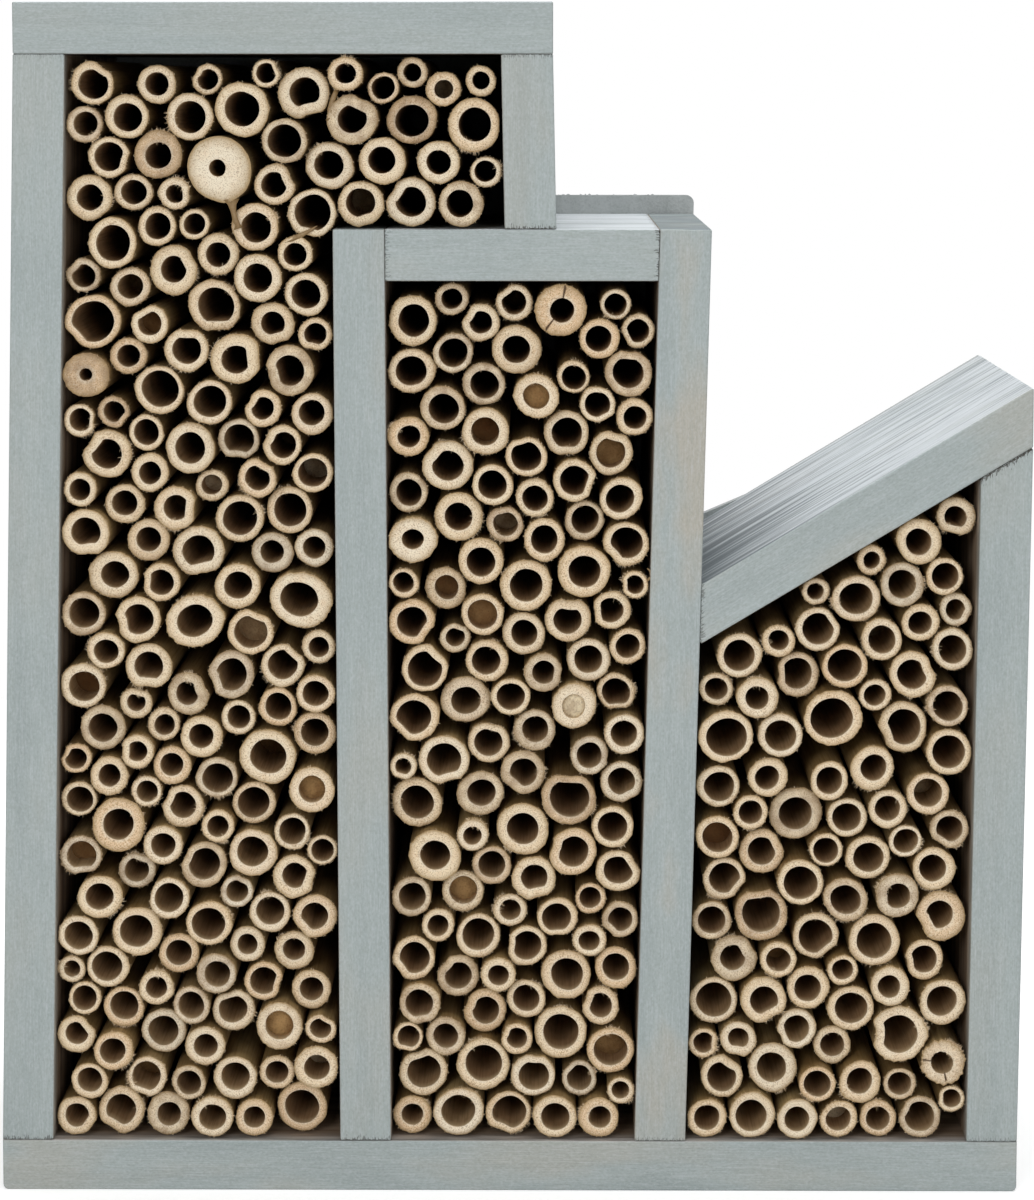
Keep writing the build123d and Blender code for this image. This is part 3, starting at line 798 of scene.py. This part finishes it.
class Growth:
    # how one cane grew and was cut: everything that makes it differ from its plain solid

    def __init__(self, found, look, dice):
        self.found = found
        keep = look.get("groove", cane["groove"])
        self.rim, self.bore = softened(found["rim"], keep), softened(found["bore"], keep)
        self.wider = look.get("wider", 1)
        self.nicks = look.get("nicks", cane["nicks"])
        self.ovalTurn = dice.uniform(0, math.tau)
        self.oval = look.get("oval", dice.uniform(0, cane["oval"]))
        self.aside = dice.uniform(0, cane["offCentre"]) * found["radius"]
        self.asideTurn = dice.uniform(0, math.tau)
        self.slope = math.tan(dice.uniform(0, cane["tilt"]))
        self.slopeTurn = dice.uniform(0, math.tau)
        self.corners = [
            # angle, size and width
            (
                dice.uniform(-math.pi, math.pi),
                dice.uniform(0.3, 1) * cane["corner"],
                dice.uniform(0.2, 0.5),
            )
            for i in range(3) if dice.random() < cane["cornerShare"]
        ]
        # its own place in the noise, away from its neighbours
        self.seed = Vector((found["x"] * 400, dice.uniform(0, 50), found["z"] * 400))
        self.ragged = look.get("ragged", dice.choice(cane["raggedGrades"])) * mm
        self.cracks = look.get("cracks", [])
        self.tone = look.get("tone", dice.triangular(0, 1, 0.45))
        self.warmth = look.get("warmth", dice.choice(cane["warmthGrades"]))
        self.dirtAndShade = look.get("dirtAndShade", dice.choice(cane["dirtGrades"]))

    def reach(self, angle, across):
        # from the centre to a point of the cut: across is 0 at the bore and 1 at the skin
        angle = wrapped(angle)
        outward = Vector((math.cos(angle), 0, math.sin(angle)))
        lump = noise.noise(self.seed + cane["lumpSpeed"] * outward)
        corner = sum(
            size * math.exp(-((wrapped(angle - at) / wide) ** 2)) for at, size, wide in self.corners
        )
        # a squeeze and a lump mostly take away, so a cane keeps clear of its neighbours
        squeeze = 1 + self.oval * (math.cos(2 * (angle - self.ovalTurn)) - 1)
        nick = self.nicks * noise.noise(self.seed + cane["nickSpeed"] * outward)
        rim = reachAt(self.rim, angle) * squeeze
        rim *= 1 + cane["lumps"] * (lump - 0.5) + corner + nick
        bore = reachAt(self.bore, angle) * squeeze * self.wider * (1 + cane["boreLumps"] * lump)
        bore += self.aside * math.cos(angle - self.asideTurn)
        return bore + across * (rim - bore)

    def depth(self, x, z):
        # depth of the sawn end at a point, given from the cane's centre
        slant = x * math.cos(self.slopeTurn) + z * math.sin(self.slopeTurn) + self.found["radius"]
        rough = noise.noise(self.seed + Vector((x, 0, z)) * cane["raggedGrain"]) * self.ragged
        return self.found["front"] + self.slope * slant + rough

    def place(self, angle, across, behind=0.0):
        # a point on the sawn end or behind it, in the hotel's own frame
        reach = self.reach(angle, across)
        x, z = reach * math.cos(angle), reach * math.sin(angle)
        return Vector((self.found["x"] + x, self.depth(x, z) + behind, self.found["z"] + z))


def growCane(shape, template, growth):
    # adds one cane to the node's bmesh
    crackWidth = math.pi / cane["fineSteps"]
    toneLayer = shape.verts.layers.float_color[toneName]
    first = len(shape.verts)
    shape.from_mesh(template)
    shape.verts.ensure_lookup_table()
    for vert in shape.verts[first:]:
        angle = math.atan2(vert.co.z, vert.co.x)
        across = math.hypot(vert.co.x, vert.co.z) - 1
        behind = vert.co.y
        vert.co = growth.place(angle, across, behind)
        dirtAndShade = growth.dirtAndShade
        if behind == rearMark:
            vert.co.y = growth.found["rear"]
        for at, outTo in growth.cracks:
            nearCut = behind <= cane["chamfer"] + weld
            if nearCut and across < outTo and abs(wrapped(angle - at)) < crackWidth:
                vert.co.y += cane["crackDepth"]
                # painted shade in the crack, carried by the dirt channel
                dirtAndShade = cane["crackShade"]
        # painted light in the bore: its red value falls to -1 over a set depth behind the cut, so
        # it is painted paler near the cut
        inBore = across < cane["chamferShare"] / 2
        paintedLightFade = min(behind / cane["paintedLightDepth"], 1) if inBore else 0
        vert[toneLayer] = (across - paintedLightFade, growth.tone, growth.warmth, dirtAndShade)


def closeNode(shape, growth, look, dice):
    # the wall across the bore at a node, a little dished
    found = growth.found
    thick = cane["membrane"]
    toneLayer = shape.verts.layers.float_color[toneName]
    made = bmesh.ops.create_cone(
        shape, cap_ends=True, cap_tris=True, segments=cane["steps"],
        radius1=1, radius2=1, depth=thick, matrix=Matrix.Rotation(upright, 4, "X"),
    )
    for face in {face for vert in made["verts"] for face in vert.link_faces}:
        face.material_index = wallFace
        face.smooth = True
    tone = look.get("membrane", dice.uniform(0.1, 0.9))
    for vert in made["verts"]:
        angle = math.atan2(vert.co.z, vert.co.x)
        edge = math.hypot(vert.co.x, vert.co.z)
        reach = growth.reach(angle, cane["membraneEdge"]) * edge
        dish = (1 - edge) * cane["dish"]
        vert[toneLayer] = (edge, tone, growth.warmth, growth.dirtAndShade)
        vert.co = (
            found["x"] + reach * math.cos(angle),
            found["wallAt"] + thick / 2 + vert.co.y + dish,
            found["z"] + reach * math.sin(angle),
        )


# fuzz: burrs of torn fibre that the saw left, short all round the rim and in tufts on some canes

fuzz = {
    "hairs": (35, 80),
    "length": (0.15 * mm, 0.7 * mm),
    "tuftShare": 0.4,                   # canes with a tuft of longer hairs
    "tuftHairs": (14, 50),
    "tuftArc": (0.3, 1.3),
    "tuftLength": (0.4 * mm, 1.5 * mm),
    "stray": 1 / 12,                    # hairs spread past their arc by about this share of it
    "width": (0.06 * mm, 0.13 * mm),
    "taper": 0.2,
    "lean": 0.7,
    "insideShare": 0.12,                # hairs that stand in the bore instead
    "rimRoot": 0.97,                    # where across the wall they grow
    "boreRoot": 0.03,
    "rootDepth": 0.3 * mm,
    "across": 0.8,                      # where across the wall their colour is from
    "tone": 0.3,
}


def addFuzz(shape, growth, dice, hairs, arc, lengths):
    # hairs are three-sided spikes; new faces have the first material, which is endFace
    toneLayer = shape.verts.layers.float_color[toneName]
    middle = dice.uniform(-math.pi, math.pi)
    for number in range(hairs):
        angle = middle + dice.uniform(-arc, arc) / 2 + dice.gauss(0, arc * fuzz["stray"])
        inside = dice.random() < fuzz["insideShare"]
        length = dice.triangular(lengths[0], lengths[1], lengths[0])
        across = fuzz["boreRoot" if inside else "rimRoot"]
        root = growth.place(angle, across, dice.uniform(0, fuzz["rootDepth"]))
        out = -1 if inside else 1
        lean = Vector((out * math.cos(angle), 0, out * math.sin(angle)))
        lean += Vector([dice.uniform(-fuzz["lean"], fuzz["lean"]) for i in range(3)])
        turned = lean.to_track_quat("Z", "Y").to_matrix().to_4x4()
        width = dice.uniform(*fuzz["width"])
        made = bmesh.ops.create_cone(
            shape, cap_ends=True, segments=3,
            radius1=width, radius2=width * fuzz["taper"], depth=length,
            matrix=Matrix.Translation(root + lean.normalized() * length / 2) @ turned,
        )
        for vert in made["verts"]:
            vert[toneLayer] = (fuzz["across"], fuzz["tone"], growth.warmth, 0)


# canes that stand out. A crack has its angle, measured from the right, and its reach across the
# wall; groove is how much of the groove shows, and wider is how much the bore opens in front of
# a closed node
caneLooks = {
    "great_pale_tube": {
        "tone": 0.0, "warmth": 0.0, "dirtAndShade": 0.15, "oval": 0.02, "nicks": 0.01,
        "hairs": 12, "tuft": 0,
    },
    "thick_walled_tube": {"tone": 0.9, "warmth": 0.8, "dirtAndShade": 0.55, "hairs": 20, "tuft": 0},
    "broad_ring_tube": {"tone": 0.2, "warmth": 0.1, "dirtAndShade": 0.0, "oval": 0.05},
    "oval_ring_tube": {"tone": 0.3, "warmth": 0.2, "dirtAndShade": 0.2, "oval": 0.07},
    "closed_node_tube": {"membrane": 0.55, "tone": 0.3, "warmth": 0.5, "dirtAndShade": 0.1},
    "stained_node_tube": {"membrane": 0.5, "tone": 0.3, "warmth": 0.2, "dirtAndShade": 0.3},
    "pith_tube": {"membrane": 0.45, "tone": 0.3, "warmth": 0.3, "dirtAndShade": 0.2, "wider": 1.4},
    "cracked_tube": {
        "tone": 0.6, "warmth": 0.8, "dirtAndShade": 0.3,
        "cracks": [(math.radians(80), 0.9), (math.radians(-127), 0.9)],
    },
    "pale_ring_tube": {"tone": 0.1, "warmth": 0.1, "dirtAndShade": 0.0},
    "solid_tube": {"membrane": 0.05, "tone": 0.2, "warmth": 0.3, "dirtAndShade": 0.0},
    "heart_tube": {"tone": 0.3, "warmth": 0.1, "groove": 1},
    "frayed_tube": {
        "ragged": 0.9, "tone": 0.2, "warmth": 0.7, "dirtAndShade": 0.3, "tuft": 140, "groove": 1,
        "nicks": 0.11, "cracks": [(math.radians(172), 0.8), (math.radians(-78), 0.7)],
    },
}

dice = random.Random(11)
plainCane = caneTemplate(cane["steps"], cane["rings"])
fineCane = caneTemplate(cane["fineSteps"], cane["fineRings"])
growths = {}
for node in sorted(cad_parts):
    if "tube" in node:
        look = caneLooks.get(node, {})
        single = not node[-1].isdigit()      # a node with a number is a bundle of ordinary canes
        shape, hairs = bmesh.new(), bmesh.new()
        for part in (shape, hairs):
            part.verts.layers.float_color.new(toneName)
        growths[node] = [Growth(readCane(points), look, dice) for points in looseSolids(node)]
        for growth in growths[node]:
            growCane(shape, fineCane if single else plainCane, growth)
            number = look.get("hairs", dice.randint(*fuzz["hairs"]))
            addFuzz(hairs, growth, dice, number, math.tau, fuzz["length"])
            tuft = look.get("tuft", dice.randint(*fuzz["tuftHairs"]))
            if dice.random() < fuzz["tuftShare"] or tuft > fuzz["tuftHairs"][1]:
                arc = dice.uniform(*fuzz["tuftArc"])
                addFuzz(hairs, growth, dice, tuft, arc, fuzz["tuftLength"])
        for growth in growths[node]:
            if growth.found["wallAt"] is not None:
                closeNode(shape, growth, look, dice)
        burrs = bpy.data.meshes.new("burrs")
        hairs.to_mesh(burrs)
        hairs.free()
        shape.from_mesh(burrs)
        finishPiece(node.replace("tube", "cane"), shape, caneMaterials, node)
print("canes grown:", sum(len(group) for group in growths.values()))


# dry sheath: papery strips that still cling to a few canes

def nearestCane(across, up):
    # the cane nearest to a point, in millimetres from the left wall's foot
    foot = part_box("left_wall")[0]
    x, z = foot.x + across * mm, foot.z + up * mm
    return min(
        (growth for group in growths.values() for growth in group),
        key=lambda growth: math.hypot(growth.found["x"] - x, growth.found["z"] - z),
    )


strips = {
    # the cane's place, where on its rim the strip starts and how far behind the cut, its width
    # there, and then for each run its length, direction and width at the end
    "hangingSheath": {
        "cane": (66, 287), "at": -68, "behind": 0.2, "width": 4.5,
        "runs": [(1.6, -85, 2.4), (2.4, -80, 1.5), (2.4, -76, 1.7), (2.4, -72, 3.0)],
    },
    "topSheath": {
        "cane": (103, 313), "at": -120, "behind": 2.0, "width": 1.2,
        "runs": [(3.0, -112, 1.6), (3.5, -108, 1.3), (3.0, -104, 0.7)],
    },
    "splinteredLip": {
        "cane": (86, 262), "at": 140, "behind": 0.1, "width": 0.6,
        "runs": [(3.0, 18, 1.6), (3.5, 22, 1.3), (3.0, 28, 0.9), (2.0, 34, 0.15)],
    },
    "curledFibre": {
        "cane": (186, 171), "at": 20, "behind": 0.0, "width": 0.8,
        "runs": [(1.5, 40, 0.7), (1.5, 95, 0.6), (1.5, 130, 0.3)],
    },
}


sheath = {
    "thickness": 0.22 * mm,
    "root": 0.94,                       # where across the wall a strip starts
    "twist": 0.2,                       # each run leans the other way
    "forward": 0.04,                    # how much a run comes forward, of its length
    "smooth": 0.6,
    "tone": (0.9, 0.6, 0.6, 0.6),
}


def addStrip(name):
    look = strips[name]
    growth = nearestCane(*look["cane"])
    shape = bmesh.new()
    toneLayer = shape.verts.layers.float_color.new(toneName)
    place = growth.place(math.radians(look["at"]), sheath["root"], look["behind"] * mm)

    def sideways(direction, width, tilt):
        heading = math.radians(direction)
        return Vector((-math.sin(heading), tilt, math.cos(heading))) * width * mm / 2

    side = sideways(look["runs"][0][1], look["width"], sheath["twist"])
    edge = shape.edges.new([shape.verts.new(place - side), shape.verts.new(place + side)])
    for number, (length, direction, width) in enumerate(look["runs"]):
        heading = math.radians(direction)
        step = Vector((math.cos(heading), -sheath["forward"], math.sin(heading)))
        place = place + step * length * mm
        side = sideways(direction, width, sheath["twist"] * (-1) ** number)
        made = bmesh.ops.extrude_edge_only(shape, edges=[edge])["geom"]
        edge = next(piece for piece in made if isinstance(piece, bmesh.types.BMEdge))
        middle = (edge.verts[0].co + edge.verts[1].co) / 2
        for vert in edge.verts:
            vert.co = place + (side if (vert.co - middle).dot(side) > 0 else -side)
    bmesh.ops.subdivide_edges(shape, edges=shape.edges, cuts=1, smooth=sheath["smooth"])
    bmesh.ops.solidify(shape, geom=shape.faces, thickness=sheath["thickness"])
    bmesh.ops.recalc_face_normals(shape, faces=shape.faces)
    for vert in shape.verts:
        vert[toneLayer] = sheath["tone"]
    for face in shape.faces:
        face.material_index = skinFace
        face.smooth = True
    finishPiece(name, shape, caneMaterials)


for name in strips:
    addStrip(name)
print("sheath strips added:", len(strips))


# floor, light and camera

studioLook = {
    "floorSize": 1.6,
    "floor": "#dcdcdc",
    "glow": 0.5,                 # how bright the light table under the hotel looks
    "tent": 0.27,                # light that comes from all around
    "backdrop": 1.0,             # how bright the tent looks, also in reflections
    "cameraDistance": 1.062,     # from the front edges
    "cameraHeight": 0.326,
    "cameraAside": 0.0093,
    "focal": 110.1,
    "sensor": 36,
    "tiltDown": math.radians(5.1),
    "turnLeft": math.radians(0.44),
    "shift": -0.156,
}

lamps = {
    # where each stands, where it points, its size and its power in watts
    "keyLeft": {"from": (-0.5, -1.4, 0.66), "to": (0, 0, 0.2), "size": (0.6, 0.6), "power": 7},
    "fillRight": {"from": (0.55, -1.7, 0.33), "to": (0, 0, 0.17), "size": (0.7, 0.7), "power": 6},
    "topSoft": {"from": (0.1, 0.1, 1.4), "to": (0.0, 0, 0.2), "size": (1.2, 0.9), "power": 16},
}


def opalGlass(tree):
    # matte white, and lit from below, but the hotel isn't lit by it
    seen = addNode(tree, "LightPath", take="Is Camera Ray")
    return {
        "Base Color": toLinear(studioLook["floor"]),
        "Roughness": 0.9,
        "Emission Color": toLinear("#ffffff"),
        "Emission Strength": addNode(tree, "MapRange", {0: seen, 4: studioLook["glow"]}),
    }


def layFloor():
    shape = bmesh.new()
    bmesh.ops.create_grid(shape, x_segments=1, y_segments=1, size=studioLook["floorSize"] / 2)
    mesh = bpy.data.meshes.new("floor")
    shape.to_mesh(mesh)
    shape.free()
    floor = bpy.data.objects.new("floor", mesh)
    bpy.context.scene.collection.objects.link(floor)
    mesh.materials.append(newMaterial("opalLightTable", opalGlass))


def hangLamp(name):
    look = lamps[name]
    light = bpy.data.lights.new(name, "AREA")
    light.shape = "RECTANGLE"
    light.size, light.size_y = look["size"]
    light.energy = look["power"]
    lamp = bpy.data.objects.new(name, light)
    bpy.context.scene.collection.objects.link(lamp)
    lamp.location = look["from"]
    aim = Vector(look["to"]) - Vector(look["from"])
    lamp.rotation_euler = aim.to_track_quat("-Z", "Y").to_euler()


def pitchTent():
    # an even white tent: it lights softly, and looks plain white behind the hotel
    world = bpy.data.worlds.new("whiteTent")
    world.use_nodes = True
    tree = world.node_tree
    tree.nodes.clear()
    seen = addNode(tree, "LightPath", take="Is Camera Ray")
    mirrored = addNode(tree, "LightPath", take="Is Glossy Ray")
    either = addNode(tree, "Math", {0: seen, 1: mirrored}, operation="MAXIMUM")
    strength = addNode(
        tree, "MapRange", {0: either, 3: studioLook["tent"], 4: studioLook["backdrop"]}
    )
    backdrop = addNode(tree, "Background", {"Color": toLinear("#ffffff"), "Strength": strength})
    addNode(tree, "OutputWorld", {"Surface": backdrop})
    bpy.context.scene.world = world
    bpy.context.scene.view_settings.view_transform = "Standard"


def setCamera():
    camera = bpy.data.cameras.new("camera")
    camera.lens = studioLook["focal"]
    camera.sensor_width = studioLook["sensor"]
    camera.shift_y = studioLook["shift"]
    holder = bpy.data.objects.new("camera", camera)
    bpy.context.scene.collection.objects.link(holder)
    holder.location = (
        studioLook["cameraAside"], low.y - studioLook["cameraDistance"], studioLook["cameraHeight"]
    )
    holder.rotation_euler = (math.radians(90) - studioLook["tiltDown"], 0, studioLook["turnLeft"])
    bpy.context.scene.camera = holder


layFloor()
for name in lamps:
    hangLamp(name)
pitchTent()
setCamera()
print("stage set")
